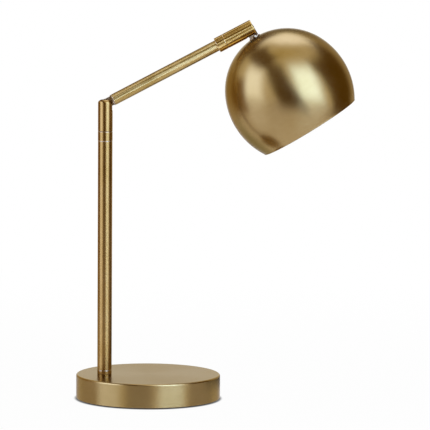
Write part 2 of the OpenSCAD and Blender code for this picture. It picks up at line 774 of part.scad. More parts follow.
base_pad();
base_weight();
base_cover();
cord_bush();
stem_foot();
stem_nipple();
stem_washer();
stem_nut();
stem_tube();
stem_flex();
head_collar();
head_stop_pin();
head_nipple();
head_spring_washer();
head_ring_nut();
head_knuckle();
head_side_washers();
head_pivot_screw();
arm_tongue();
arm_tube();
arm_flex();
barrel_collar();
barrel_stop_pin();
barrel_nipple();
barrel_spring_washer();
barrel_ring_nut();
barrel_knuckle();
barrel_side_washers();
barrel_pivot_screw();
shade_tongue();
shade_dome();
holder_cup();
holder_washer();
holder_nut();
holder_body();
holder_core();
holder_shell();
holder_contact();
holder_flex();
bulb_cap();
bulb_insulator();
bulb_contact();
bulb_globe();
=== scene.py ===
"""Dome shade desk lamp: a satin brass lamp with a round weighted base, an offset stem, a swivelling
knuckle-jointed arm and a tilting spun shade. Studio sizes are metres. The pieces' own sizes are
millimetres, turned into metres when a surface is made."""
from math import acos, asin, atan2, pi, radians, sqrt

import bpy
import numpy as np
from mathutils import Matrix, Vector


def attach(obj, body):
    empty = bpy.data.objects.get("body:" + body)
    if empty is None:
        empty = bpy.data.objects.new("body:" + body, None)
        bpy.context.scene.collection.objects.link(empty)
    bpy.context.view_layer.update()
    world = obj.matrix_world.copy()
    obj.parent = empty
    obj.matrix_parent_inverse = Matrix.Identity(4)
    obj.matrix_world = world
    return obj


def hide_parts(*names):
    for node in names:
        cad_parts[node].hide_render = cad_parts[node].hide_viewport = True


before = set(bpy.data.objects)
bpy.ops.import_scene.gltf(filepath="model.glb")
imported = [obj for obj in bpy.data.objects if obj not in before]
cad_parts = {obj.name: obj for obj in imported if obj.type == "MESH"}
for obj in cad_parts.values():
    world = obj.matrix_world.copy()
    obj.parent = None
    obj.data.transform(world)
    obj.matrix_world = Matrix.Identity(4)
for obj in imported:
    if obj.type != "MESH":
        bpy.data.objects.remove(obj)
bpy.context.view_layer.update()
bpy.context.scene.view_settings.view_transform = "Standard"

# ---- Studio -----------------------------------------------------------------------------------------
# The lamp stands on a white table before a white ground, lit evenly by the sky and two soft lamps.
# Polished metal sees cards instead: bright ones in front and overhead, dark and brown ones between
# them, which draw the bands that satin metal shows.


def node(tree, kind, inputs=None, **settings):
    """Adds a shader node. settings are its own options; inputs gives a value or a socket to each named
    or numbered input."""
    made = tree.nodes.new(kind)
    for key, value in settings.items():
        setattr(made, key, value)
    for key, value in (inputs or {}).items():
        if isinstance(value, bpy.types.NodeSocket):
            tree.links.new(value, made.inputs[key])
        else:
            made.inputs[key].default_value = value
    return made


def maths(tree, operation, *values):
    """One Math node after another over the values, which are numbers or sockets."""
    total = values[0]
    for value in values[1:]:
        total = node(tree, "ShaderNodeMath", {0: total, 1: value}, operation=operation).outputs[0]
    return total


def ranged(tree, value, start, end, low=0.0, high=1.0, ease="LINEAR"):
    """Maps a value from start..end to low..high, and holds it at those beyond."""
    return node(tree, "ShaderNodeMapRange", {"Value": value, "From Min": start, "From Max": end,
                                             "To Min": low, "To Max": high},
                interpolation_type=ease).outputs[0]


def mixed(tree, share, *colours):
    """The colour that lies share of the way from the first to the second. Each is a socket or (r, g, b)."""
    first, second = (c if isinstance(c, bpy.types.NodeSocket) else (*c, 1) for c in colours)
    return node(tree, "ShaderNodeMix", {0: share, 6: first, 7: second}, data_type="RGBA").outputs[2]


def shared(tree, share, first, second):
    """A shader that is the second one for that share, and the first one for the rest."""
    return node(tree, "ShaderNodeMixShader", {0: share, 1: first.outputs[0], 2: second.outputs[0]})


def new_material(name):
    """An empty material and its node tree."""
    made = bpy.data.materials.new(name)
    made.use_nodes = True
    made.node_tree.nodes.clear()
    return made, made.node_tree


def seen_share(tree, share):
    """share for camera, glossy and transmission rays, and 0 for the rest."""
    path = node(tree, "ShaderNodeLightPath").outputs
    seen = maths(tree, "MAXIMUM", path["Is Camera Ray"], path["Is Glossy Ray"], path["Is Transmission Ray"])
    return maths(tree, "MULTIPLY", seen, share)


camera_at = Vector((0.07312, -3.6, 0.57034))
camera_dip, camera_roll = 0.10116, 0.00686
camera_lens, camera_film = 273.78, 36
camera_data = bpy.data.cameras.new("photo_camera")
camera_data.sensor_width = camera_film
camera_data.lens = camera_lens
camera_data.clip_start, camera_data.clip_end = 0.05, 60
camera = bpy.data.objects.new("photo_camera", camera_data)
camera.matrix_world = (Matrix.Translation(camera_at) @ Matrix.Rotation(pi / 2 - camera_dip, 4, "X")
                       @ Matrix.Rotation(camera_roll, 4, "Z"))
bpy.context.scene.collection.objects.link(camera)
bpy.context.scene.camera = camera

# What is seen of the sky is plain white. What it lights is less, and the soft lamps make it up.
diffuse_sky = 0.62
world = bpy.data.worlds.new("white_ground")
world.use_nodes = True
sky = world.node_tree
sky.nodes.clear()
sky_strength = maths(sky, "ADD", seen_share(sky, 1 - diffuse_sky), diffuse_sky)
sky_light = node(sky, "ShaderNodeBackground", {"Color": (1, 1, 1, 1), "Strength": sky_strength})
node(sky, "ShaderNodeOutputWorld", {"Surface": sky_light.outputs[0]})
bpy.context.scene.world = world

# The table is seen white. Near the lamp a small part is lit paint, which keeps the lamp's shadow, and a
# thin ring where the pad meets it is painted dark: a painted contact shadow. Polished metal sees a bluish
# white, and a sheen over it in which the cards show at low angles.
table_half, table_z, table_grey = 9.0, -0.0002, 0.84
lit_near, lit_far, glow_near = 0.2, 1.2, 0.97
# The painted contact shadow round the pad: its inner and outer radius, and how white it stays at its
# darkest.
shadow_ring_in, shadow_ring_out, shadow_ring_white = 0.079, 0.0835, 0.15
table_bluish, sheen_ior, sheen_roughness = (1.0, 1.04, 1.35), 1.6, 0.05

table_white, tree = new_material("white_table")
spot = node(tree, "ShaderNodeVectorMath", {0: node(tree, "ShaderNodeTexCoord").outputs["Object"]},
            operation="LENGTH").outputs["Value"]
far_share = ranged(tree, spot, lit_near, lit_far, glow_near, 1.0, "SMOOTHSTEP")
table_lit = node(tree, "ShaderNodeBsdfDiffuse", {"Color": (table_grey, table_grey, table_grey, 1)})
# Painted contact shadow: the white that the camera sees is dimmed in a thin ring round the pad.
painted_contact_shadow = ranged(tree, spot, shadow_ring_in, shadow_ring_out, shadow_ring_white, 1.0, "SMOOTHSTEP")
white = node(tree, "ShaderNodeEmission", {"Color": (1, 1, 1, 1), "Strength": painted_contact_shadow})
sheen = node(tree, "ShaderNodeBsdfAnisotropic", {"Color": (1, 1, 1, 1), "Roughness": sheen_roughness})
glossy_ray = node(tree, "ShaderNodeLightPath").outputs["Is Glossy Ray"]
fresnel = node(tree, "ShaderNodeFresnel", {"IOR": sheen_ior}).outputs[0]
sheen_share = maths(tree, "MULTIPLY", fresnel, glossy_ray)
bluish = node(tree, "ShaderNodeEmission", {"Color": (*table_bluish, 1), "Strength": 1.0})
table_seen = shared(tree, sheen_share, shared(tree, glossy_ray, white, bluish), sheen)
table_mix = shared(tree, seen_share(tree, far_share), table_lit, table_seen)
node(tree, "ShaderNodeOutputMaterial", {"Surface": table_mix.outputs[0]})

table_mesh = bpy.data.meshes.new("table_top")
table_mesh.from_pydata([(x * table_half, y * table_half, table_z)
                        for x, y in ((-1, -1), (1, -1), (1, 1), (-1, 1))], [], [(0, 1, 2, 3)])
table_mesh.materials.append(table_white)
table_top = bpy.data.objects.new("table_top", table_mesh)
bpy.context.scene.collection.objects.link(table_top)

lamp_middle = np.array([0.1, 0.0, 0.28])  # the soft lamps and the cards stand round this point


def soft_lamp(name, azimuth, rise, distance, size, radiance):
    """A square soft lamp that faces the middle. Azimuth 0 is towards the camera and +90 to its right.
    radiance is how bright its front is beside white. Polished metal sees the cards below in its place."""
    light = bpy.data.lights.new(name, "AREA")
    light.size = size
    light.energy = radiance * pi * size ** 2
    lamp = bpy.data.objects.new(name, light)
    turn = Matrix.Rotation(radians(azimuth), 4, "Z") @ Matrix.Rotation(radians(90 - rise), 4, "X")
    lamp.matrix_world = Matrix.Translation(lamp_middle) @ turn @ Matrix.Translation((0, 0, distance))
    lamp.visible_camera = lamp.visible_glossy = False
    bpy.context.scene.collection.objects.link(lamp)


base_top_z, base_top_give = 0.0271, 0.0003  # base_h of the base cover, and how far off it may be
shade_beyond_x, shade_above_z = 0.115, 0.15
calm_tone = (0.85, 0.82, 0.80)


def card_paint(name, colour, once, calm, seen_by):
    """A glow within the card's soft edge. Where a reflection left the lamp is worked out backwards: the
    point that was hit, plus the way it came from times the length of the ray. The base's flat top is one
    mirror that would flash from card to card as one walks round the lamp, so a ray that left at its
    height sees the share calm of every card in one plain tone. Most of the shade is lit apart from the
    rest, by cards that lean more: with seen_by "shade" a card shows only to rays that left beyond
    shade_beyond_x and above shade_above_z, where the shade hangs at rest, and with "rest" only to the
    others. With once, it doesn't show in a reflection of a reflection."""
    made, tree = new_material(name)
    share = node(tree, "ShaderNodeAttribute", attribute_name="inner").outputs["Fac"]
    hit = node(tree, "ShaderNodeNewGeometry").outputs
    path = node(tree, "ShaderNodeLightPath").outputs
    way = node(tree, "ShaderNodeVectorMath", {0: hit["Incoming"], "Scale": path["Ray Length"]},
               operation="SCALE").outputs[0]
    left_at = node(tree, "ShaderNodeVectorMath", {0: hit["Position"], 1: way}).outputs[0]
    left_at = node(tree, "ShaderNodeSeparateXYZ", {0: left_at}).outputs
    if seen_by != "all":
        beyond = maths(tree, "GREATER_THAN", left_at[0], shade_beyond_x)
        above = maths(tree, "GREATER_THAN", left_at[2], shade_above_z)
        from_there = maths(tree, "MULTIPLY", beyond, above)
        if seen_by == "rest":
            from_there = maths(tree, "SUBTRACT", 1.0, from_there)
        share = maths(tree, "MULTIPLY", share, from_there)
    if once:
        first = maths(tree, "LESS_THAN", path["Glossy Depth"], 1.5)
        share = maths(tree, "MULTIPLY", share, first)
    on_top = node(tree, "ShaderNodeMath", {0: left_at[2], 1: base_top_z, 2: base_top_give},
                  operation="COMPARE").outputs[0]
    tone = mixed(tree, maths(tree, "MULTIPLY", on_top, calm), colour, calm_tone)
    glow = node(tree, "ShaderNodeEmission", {"Color": tone, "Strength": 1.0})
    clear = node(tree, "ShaderNodeBsdfTransparent")
    node(tree, "ShaderNodeOutputMaterial", {"Surface": shared(tree, share, clear, glow).outputs[0]})
    return made


card_columns, card_rows = 32, 16


def card(name, colour, foot, head, low, high, distance, soft, once=False, calm=0.8, seen_by="all"):
    """A soft-edged card or lamp front bent round the middle, which only polished surfaces see. It runs
    between the azimuths foot at the elevation low, and head at high: point = middle + distance *
    direction(azimuth, elevation), with the azimuth a straight mix of the two, and it runs on just over
    the table where it meets it. It fades out over the share soft of its width and height."""
    u, v = np.meshgrid(np.linspace(0, 1, card_columns + 1), np.linspace(0, 1, card_rows + 1))
    at_foot = foot[0] + (foot[1] - foot[0]) * u
    at_head = head[0] + (head[1] - head[0]) * u
    turn = np.radians(at_foot * (1 - v) + at_head * v)
    rise = np.radians(low + (high - low) * v)
    over_table = 0.001 * distance
    to_table = (lamp_middle[2] - over_table) / np.maximum(-np.sin(rise), 1e-6)
    ray = np.stack([np.cos(rise) * np.sin(turn), -np.cos(rise) * np.cos(turn), np.sin(rise)], 2)
    points = lamp_middle + np.minimum(distance, to_table)[..., None] * ray
    wide = card_columns + 1
    k = (np.arange(card_rows)[:, None] * wide + np.arange(card_columns)).ravel()
    quads = np.stack([k, k + 1, k + wide + 1, k + wide], 1)
    mesh = bpy.data.meshes.new(name)
    mesh.from_pydata(points.reshape(-1, 3).tolist(), [], quads.tolist())
    rim = np.clip(np.minimum(np.minimum(u, 1 - u), np.minimum(v, 1 - v)) / (soft / 2), 0, 1)
    inner = rim * rim * (3 - 2 * rim)
    mesh.attributes.new("inner", "FLOAT", "POINT").data.foreach_set("value", inner.ravel())
    mesh.materials.append(card_paint(name, colour, once, calm, seen_by))
    made = bpy.data.objects.new(name, mesh)
    made.visible_camera = made.visible_diffuse = made.visible_shadow = made.visible_transmission = False
    bpy.context.scene.collection.objects.link(made)


soft_lamp("right_soft_lamp", azimuth=40, rise=30, distance=1.7, size=1.0, radiance=1.3)
soft_lamp("left_soft_lamp", azimuth=-66, rise=25, distance=1.7, size=0.8, radiance=0.9)

# The fronts are bluish, so that yellow metal shows them pale. What is darkest is red and green alone,
# so that the metal's darks come out brown.
right_glow, left_glow, top_glow = (2.6, 3.9, 7.4), (2.15, 2.7, 4.6), (2.1, 2.5, 4.3)
middle_dark, side_dark, back_dark = (0.14, 0.08, 0.0), (0.16, 0.09, 0.0), (0.16, 0.08, 0.0)

card("right_front", right_glow, (11, 65), (-6, 66), -21, 61, 1.70, 0.7, seen_by="rest")
card("shade_right_front", right_glow, (11, 72), (-6, 60), -17, 61, 1.70, 0.7, seen_by="shade")
card("left_front", left_glow, (-94, -38), (-100, -44), -17, 46, 1.70, 0.65)
card("top_front", top_glow, (110, 238), (98, 252), 41, 89, 1.70, 0.6)
card("golden_top", (0.84, 0.77, 0.53), (-88, 84), (-88, 84), 62, 88, 1.68, 0.5, once=True, calm=0.0)
card("dark_middle", middle_dark, (-29, 24), (-74, -14), -34, 63, 1.60, 0.5, seen_by="rest")
card("shade_dark_middle", middle_dark, (-16, 47), (-63, -17), -27, 63, 1.60, 0.5, seen_by="shade")
card("dark_over_left", side_dark, (-136, -32), (-130, -24), 37, 70, 1.62, 0.45, once=True)
card("dark_behind_left", back_dark, (-184, -112), (-176, -116), 18, 56, 1.64, 0.5, once=True)
card("brown_left", (0.32, 0.19, 0.03), (-134, -74), (-134, -82), -26, 22, 1.66, 0.5)
card("golden_left", (0.55, 0.42, 0.22), (-172, -106), (-172, -106), -30, 36, 1.69, 0.8)
card("dull_floor", (0.55, 0.57, 0.60), (-192, -110), (-192, -110), -66, -8, 1.68, 0.8)
card("dark_right", side_dark, (56, 134), (65, 132), -27, 61, 1.60, 0.4, seen_by="rest")
card("shade_dark_right", side_dark, (82, 134), (41, 152), -25, 61, 1.60, 0.4, seen_by="shade")
card("dark_under_right", (0.04, 0.025, 0.01), (72, 198), (66, 198), -84, -8, 1.66, 0.8)
card("brown_right", (0.56, 0.48, 0.38), (108, 176), (104, 176), -30, 64, 1.62, 0.8)
card("brown_behind", (0.30, 0.27, 0.24), (134, 206), (134, 202), 12, 52, 1.64, 0.8, calm=0.0)

# ---- Base pad ---------------------------------------------------------------------------------------
# A die-cut disc of black foam, glued in the cover's lower edge. Its rim shows as a thin dark line
# between the brass and the table.


mm = 0.001
straight = 0.9999  # the cosine past which two sides count as one line


def outline(corners, steps=4, closed=True):
    """A path through corners (across, up, rounding), all worked out at once. Each corner becomes an arc
    that touches both its sides: the arc's centre lies rounding / sin(half the corner's angle) along the
    bisector. A point stands just before and after each arc, so that smooth shading stays on the arc. The
    third column is 1 on the arcs, where a finish wears. An open path keeps its two end points."""
    corners = np.array(corners, float)
    at, r = corners[:, :2], corners[:, 2:]

    def unit(v):
        return v / np.maximum(np.linalg.norm(v, axis=1, keepdims=True), 1e-9)

    back, ahead = unit(np.roll(at, 1, 0) - at), unit(np.roll(at, -1, 0) - at)
    half = np.arccos(np.clip((back * ahead).sum(1, keepdims=True), -straight, straight)) / 2
    reach = r / np.tan(half)
    centre = at + unit(back + ahead) * r / np.sin(half)
    first, last = at + back * reach - centre, at + ahead * reach - centre
    turn = (pi - 2 * half)[:, None]
    k = np.linspace(0, 1, steps + 1)[None, :, None]
    spokes = np.sin((1 - k) * turn) * first[:, None] + np.sin(k * turn) * last[:, None]
    arcs = centre[:, None] + spokes / np.sin(turn)
    lead = np.maximum(0.12 * r, 0.02)
    before, after = at + back * (reach + lead), at + ahead * (reach + lead)
    path = np.concatenate([before[:, None], arcs, after[:, None]], 1)
    worn = np.zeros(path.shape[:2] + (1,))
    worn[:, 1:-1] = 1
    path = np.concatenate([path, worn], 2)
    if closed:
        return path.reshape(-1, 3)
    ends = np.column_stack([at[[0, -1]], [0, 0]])
    return np.vstack([ends[:1], path[1:-1].reshape(-1, 3), ends[1:]])


sharp_over = 40


def put_mesh(name, points, quads, triangles, edge):
    """Makes an object of points in metres, with edge as the share of wear on each. Its edges are sharp
    where they turn more than sharp_over degrees. The faces are turned round if the volume that they
    enclose is negative, which is the sum of a . (b x c) over their triangles."""
    halves = np.vstack([quads[:, :3], quads[:, [0, 2, 3]], triangles])
    a, b, c = points[halves[:, 0]], points[halves[:, 1]], points[halves[:, 2]]
    if (a * np.cross(b, c)).sum() < 0:
        quads, triangles = quads[:, ::-1], triangles[:, ::-1]
    sizes = np.concatenate([np.full(len(quads), 4), np.full(len(triangles), 3)])
    loops = np.concatenate([quads.ravel(), triangles.ravel()])
    starts = np.concatenate([[0], np.cumsum(sizes)[:-1]])
    mesh = bpy.data.meshes.new(name)
    mesh.vertices.add(len(points))
    mesh.vertices.foreach_set("co", points.ravel())
    mesh.loops.add(len(loops))
    mesh.loops.foreach_set("vertex_index", loops.astype(np.int32))
    mesh.polygons.add(len(sizes))
    mesh.polygons.foreach_set("loop_start", starts.astype(np.int32))
    mesh.update(calc_edges=True)
    mesh.validate()
    mesh.attributes.new("edge", "FLOAT", "POINT").data.foreach_set("value", edge)
    mesh.shade_smooth()
    mesh.set_sharp_from_angle(angle=radians(sharp_over))
    made = bpy.data.objects.new(name, mesh)
    bpy.context.scene.collection.objects.link(made)
    return made


def turned(name, path, place=Matrix(), around=144, closed=True):
    """Turns a path of (across, up, wear) round the up axis: x = across cos t, y = across sin t, z = up,
    with t from 0 to a full turn, then sets it in the frame place. An open path starts and ends on the
    axis, where its faces meet in one point."""
    t = np.linspace(0, 2 * pi, around, endpoint=False)
    body = path if closed else path[1:-1]
    rows = len(body)
    across, up, worn, t = np.broadcast_arrays(*body.T[:, :, None], t)
    points, edge = np.stack([across * np.cos(t), across * np.sin(t), up], 2).reshape(-1, 3), worn.ravel()
    i, j = np.meshgrid(np.arange(rows if closed else rows - 1), np.arange(around), indexing="ij")
    below, above, beside = i * around, (i + 1) % rows * around, (j + 1) % around
    quads = np.stack([below + j, below + beside, above + beside, above + j], 2).reshape(-1, 4)
    triangles = np.zeros((0, 3), int)
    if not closed:
        j, top_row = np.arange(around), (rows - 1) * around
        beside = (j + 1) % around
        low, top = np.full(around, len(points)), np.full(around, len(points) + 1)
        triangles = np.vstack([np.stack([low, beside, j], 1),
                               np.stack([top, top_row + j, top_row + beside], 1)])
        points = np.vstack([points, [[0, 0, path[0, 1]], [0, 0, path[-1, 1]]]])
        edge = np.concatenate([edge, [0, 0]])
    matrix = np.array(place)
    return put_mesh(name, points * mm @ matrix[:3, :3].T + matrix[:3, 3], quads, triangles, edge)


def dress(piece, body, slot, material, *replaced):
    """The piece gets its material, rides on its body and stands for its CAD nodes."""
    piece.data.materials.append(material)
    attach(piece, body)
    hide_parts(*replaced)


def noise(tree, at, scale, detail, roughness=0.5):
    """A noise about 0.5, at a place that is a vector socket."""
    return node(tree, "ShaderNodeTexNoise", {"Vector": at, "Scale": scale, "Detail": detail,
                                             "Roughness": roughness}).outputs[0]


def speckled(name, colour, other, roughness, scale, depth, metallic=0.0, specular=0.5):
    """A plain finish with a grain: two close colours and the roughness follow the sum of a noise of that
    scale and one 22 times as coarse, which lies about 1, and the height follows the fine one."""
    made, tree = new_material(name)
    coords = node(tree, "ShaderNodeTexCoord").outputs["Object"]
    grain, cloud = noise(tree, coords, scale, 4.0), noise(tree, coords, scale / 22, 2.0)
    both = maths(tree, "ADD", grain, cloud)
    bump = node(tree, "ShaderNodeBump", {"Strength": 1.0, "Distance": depth, "Height": grain})
    shader = node(tree, "ShaderNodeBsdfPrincipled",
                  {"Base Color": mixed(tree, ranged(tree, both, 0.7, 1.3), colour, other),
                   "Metallic": metallic,
                   "Roughness": ranged(tree, both, 0.6, 1.4, roughness - 0.07, roughness + 0.07),
                   "Specular IOR Level": specular, "Normal": bump.outputs[0]})
    node(tree, "ShaderNodeOutputMaterial", {"Surface": shader.outputs[0]})
    return made


pad_r, pad_t, pad_edge = 78.4, 2.2, 0.3
pad = turned("foam_pad", outline([(0, 0, 0), (pad_r, 0, pad_edge), (pad_r, pad_t, pad_edge), (0, pad_t, 0)],
                                 closed=False))
foam = speckled("black_foam", (0.022, 0.022, 0.022), (0.045, 0.044, 0.042), 0.9, 2400, 0.00008,
                specular=0.3)
dress(pad, "base", "pad_foam", foam, "base_pad")

# ---- Base weight ------------------------------------------------------------------------------------
# An iron casting inside the cover: a web that the stem is bolted to and a thick rim. It is left as
# cast, and the cover and pad hide it.


def coat(material, *names):
    """CAD pieces whose shape is right get their real finish in place of a plain colour."""
    for name in names:
        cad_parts[name].data.materials[0] = material


cast_iron = speckled("cast_iron", (0.10, 0.10, 0.105), (0.19, 0.18, 0.18), 0.62, 700, 0.00012,
                     metallic=0.7)
coat(cast_iron, "base_weight")

# ---- Base cover -------------------------------------------------------------------------------------
# Spun from 1.2 mm brass sheet with a small turned-over edge, satin brushed round its axis, then toned
# to antique brass and lacquered. The lathe lines run round it and its edge is a little brighter.


def new_group(name, inputs, outputs):
    """A shader node group with named inputs (name, kind, value) and outputs (name, kind)."""
    tree = bpy.data.node_groups.new(name, "ShaderNodeTree")
    for title, kind, value in inputs:
        socket = tree.interface.new_socket(title, in_out="INPUT", socket_type="NodeSocket" + kind)
        if value is not None:
            socket.default_value = value
    for title, kind in outputs:
        tree.interface.new_socket(title, in_out="OUTPUT", socket_type="NodeSocket" + kind)
    return tree, node(tree, "NodeGroupInput").outputs, node(tree, "NodeGroupOutput").inputs


# Spun lines: a noise that is stretched round the axis. It reads (x, y) slowly and up + radius quickly.
spun_lines, given, result = new_group("spun_lines", [("Vector", "Vector", None), ("Fine", "Float", 1300.0),
                                                     ("Long", "Float", 30.0)], [("Lines", "Float")])
split = node(spun_lines, "ShaderNodeSeparateXYZ", {0: given["Vector"]}).outputs
flat = node(spun_lines, "ShaderNodeCombineXYZ", {0: split[0], 1: split[1]}).outputs[0]
radius = node(spun_lines, "ShaderNodeVectorMath", {0: flat}, operation="LENGTH").outputs["Value"]
quick = maths(spun_lines, "MULTIPLY", maths(spun_lines, "ADD", split[2], radius), given["Fine"])
slow = node(spun_lines, "ShaderNodeVectorMath", {0: flat, "Scale": given["Long"]},
            operation="SCALE").outputs[0]
slow = node(spun_lines, "ShaderNodeSeparateXYZ", {0: slow}).outputs
line_at = node(spun_lines, "ShaderNodeCombineXYZ", {0: slow[0], 1: slow[1], 2: quick}).outputs[0]
spun_lines.links.new(noise(spun_lines, line_at, 1.0, 4.0, 0.65), result["Lines"])

# Toned brass: cloudy toning, handling marks and bright worn edges over the brushed lines.
cloud_scale, mark_scale = 26.0, 480.0
line_weight, mark_weight, mark_wear = 1.6, 0.15, 0.9
line_roughness, cloud_roughness = 0.3, 0.10
toned_brass, given, result = new_group(
    "toned_brass",
    [("Vector", "Vector", None), ("Lines", "Float", 0.5), ("Show", "Float", 0.5),
     ("Colour", "Color", (0.42, 0.285, 0.108, 1)), ("Toned", "Color", (0.35, 0.228, 0.078, 1)),
     ("Worn", "Color", (0.62, 0.47, 0.24, 1)), ("Roughness", "Float", 0.3)],
    [("Colour", "Color"), ("Roughness", "Float")])
cloud = noise(toned_brass, given["Vector"], cloud_scale, 3.0)
mark = noise(toned_brass, given["Vector"], mark_scale, 5.0)
line = maths(toned_brass, "MULTIPLY", maths(toned_brass, "ADD", given["Lines"], -0.5), given["Show"])
tone = maths(toned_brass, "ADD", cloud, maths(toned_brass, "MULTIPLY", line, line_weight),
             maths(toned_brass, "MULTIPLY", mark, mark_weight))
tinted = mixed(toned_brass, ranged(toned_brass, tone, 0.4, 0.9), given["Toned"], given["Colour"])
worn = node(toned_brass, "ShaderNodeAttribute", attribute_name="edge").outputs["Fac"]
worn = maths(toned_brass, "MULTIPLY", worn, maths(toned_brass, "MULTIPLY", mark, mark_wear))
toned_brass.links.new(mixed(toned_brass, worn, tinted, given["Worn"]), result["Colour"])
cloudy = maths(toned_brass, "MULTIPLY", maths(toned_brass, "ADD", cloud, -0.5), cloud_roughness)
rough = maths(toned_brass, "ADD", given["Roughness"],
              maths(toned_brass, "MULTIPLY", line, line_roughness), cloudy)
toned_brass.links.new(rough, result["Roughness"])


def own_coordinates(tree, place):
    """Object coordinates turned back into the frame in which the piece was made."""
    inverse = place.inverted()
    coords = node(tree, "ShaderNodeTexCoord").outputs["Object"]
    return node(tree, "ShaderNodeMapping", {"Vector": coords, "Location": inverse.to_translation(),
                                            "Rotation": inverse.to_euler()}).outputs[0]


def satin_brass(name, place, lines, fine, long, roughness, stretched, depth=0.000002, show=0.5,
                colour=(0.42, 0.285, 0.106), toned=(0.35, 0.228, 0.076), worn=(0.52, 0.36, 0.15)):
    """Antique brass under a thin lacquer, for a piece made in the frame place. lines is the group that
    draws its brushing. The metal's shine is stretched across the lines: the tangent is the axis plus the
    unit vector away from it, which the shader lays into the surface."""
    made, tree = new_material(name)
    own = own_coordinates(tree, place)
    brushed = node(tree, "ShaderNodeGroup", {"Vector": own, "Fine": fine, "Long": long},
                   node_tree=lines).outputs["Lines"]
    finish = node(tree, "ShaderNodeGroup",
                  {"Vector": own, "Lines": brushed, "Show": show, "Roughness": roughness,
                   "Colour": (*colour, 1), "Toned": (*toned, 1), "Worn": (*worn, 1)},
                  node_tree=toned_brass).outputs
    bump = node(tree, "ShaderNodeBump", {"Strength": 1.0, "Distance": depth, "Height": brushed})
    away = node(tree, "ShaderNodeVectorMath", {0: own, 1: (1, 1, 0)}, operation="MULTIPLY").outputs[0]
    away = node(tree, "ShaderNodeVectorMath", {0: away}, operation="NORMALIZE").outputs[0]
    across = node(tree, "ShaderNodeVectorMath", {0: away, 1: (0, 0, 1)}).outputs[0]
    back = node(tree, "ShaderNodeMapping", {"Vector": across, "Rotation": place.to_euler()},
                vector_type="VECTOR").outputs[0]
    tangent = node(tree, "ShaderNodeVectorTransform", {0: back}, vector_type="VECTOR",
                   convert_from="OBJECT", convert_to="WORLD").outputs[0]
    shader = node(tree, "ShaderNodeBsdfPrincipled",
                  {"Base Color": finish["Colour"], "Metallic": 1.0, "Roughness": finish["Roughness"],
                   "Specular Tint": (0.74, 0.68, 0.54, 1), "Anisotropic": stretched,
                   "Tangent": tangent, "Normal": bump.outputs[0]})
    node(tree, "ShaderNodeOutputMaterial", {"Surface": shader.outputs[0]})
    return made


base_r, base_h, base_edge = 80.0, 27.1, 1.9
cover_wall, cover_foot, foot_edge, inner_edge = 1.2, 1.1, 0.25, 0.7
inside_r, inside_h = base_r - cover_wall, base_h - cover_wall
cover = turned("base_shell", outline([(0, base_h, 0), (base_r, base_h, base_edge),
                                      (base_r, cover_foot, foot_edge), (inside_r, cover_foot, foot_edge),
                                      (inside_r, inside_h, inner_edge), (0, inside_h, 0)],
                                     steps=8, closed=False), around=256)
# The base gets a darker copy of the shade's brass. This is painted shade.
base_brass_painted_shade = satin_brass("satin_brass_base_painted_shade", Matrix(), spun_lines, 1300.0, 25.0, roughness=0.22,
                         stretched=0.3, depth=0.000001, show=0.3, colour=(0.36, 0.24, 0.085),
                         toned=(0.31, 0.20, 0.062))
dress(cover, "base", "satin_brass", base_brass_painted_shade, "base_cover")

# ---- Cord inlet -------------------------------------------------------------------------------------
# A black moulded grommet snapped in the cover's rear wall, low down, where the cord would go in.

rubber = speckled("black_rubber", (0.02, 0.02, 0.02), (0.035, 0.034, 0.033), 0.55, 1500, 0.00003)
coat(rubber, "cord_bush")

# ---- Stem -------------------------------------------------------------------------------------------
# A turned brass foot, screwed down through the cover and weight by a hollow threaded nipple with a
# washer and nut, and a drawn brass tube pressed over it. The tube is brushed along its length.

# Drawn lines: a noise that is stretched along the axis. It reads (x, y) quickly and up slowly.
drawn_lines, given, result = new_group("drawn_lines", [("Vector", "Vector", None), ("Fine", "Float", 1800.0),
                                                       ("Long", "Float", 28.0)], [("Lines", "Float")])
split = node(drawn_lines, "ShaderNodeSeparateXYZ", {0: given["Vector"]}).outputs
line_at = node(drawn_lines, "ShaderNodeCombineXYZ",
               {0: maths(drawn_lines, "MULTIPLY", split[0], given["Fine"]),
                1: maths(drawn_lines, "MULTIPLY", split[1], given["Fine"]),
                2: maths(drawn_lines, "MULTIPLY", split[2], given["Long"])}).outputs[0]
drawn_lines.links.new(noise(drawn_lines, line_at, 1.0, 4.0, 0.65), result["Lines"])

crisp, eased = 0.1, 0.4
stem_x, stem_r, stem_bore_r, foot_top, tube_top = -48.6, 8.0, 7.0, 31.2, 286.3
foot_bore_r, spigot_r, spigot_h, seat_edge, spigot_edge = 5.02, 6.98, 14.0, 0.05, 0.3
at_stem = Matrix.Translation((stem_x * mm, 0, 0))
# The stem's pieces get a redder, deeper copy of the shade's brass, coloured to match how its reflections
# look under this light. This is painted light. Its depth, line strength and worn edges are the finish.
stem_finish_and_painted_tone = {"depth": 0.0000006, "show": 0.25, "colour": (0.42, 0.255, 0.08),
               "toned": (0.34, 0.195, 0.05), "worn": (0.95, 0.88, 0.72)}
stem_spun = satin_brass("satin_brass_stem_turned", at_stem, drawn_lines, 1500.0, 20.0, roughness=0.23,
                        stretched=0.7, **stem_finish_and_painted_tone)
stem_drawn = satin_brass("satin_brass_stem", at_stem, drawn_lines, 1500.0, 20.0, roughness=0.25,
                         stretched=0.75, **stem_finish_and_painted_tone)
foot = turned("stem_band", outline([(foot_bore_r, base_h, crisp), (stem_r, base_h, eased),
                                    (stem_r, foot_top, eased), (spigot_r, foot_top, seat_edge),
                                    (spigot_r, foot_top + spigot_h, spigot_edge),
                                    (foot_bore_r, foot_top + spigot_h, crisp)]), at_stem)
dress(foot, "base", "satin_brass", stem_spun, "stem_foot")
tube = turned("stem_pipe", outline([(stem_bore_r, foot_top, crisp), (stem_r, foot_top, eased),
                                    (stem_r, tube_top, eased), (stem_bore_r, tube_top, crisp)]), at_stem)
dress(tube, "base", "satin_brass", stem_drawn, "stem_tube")

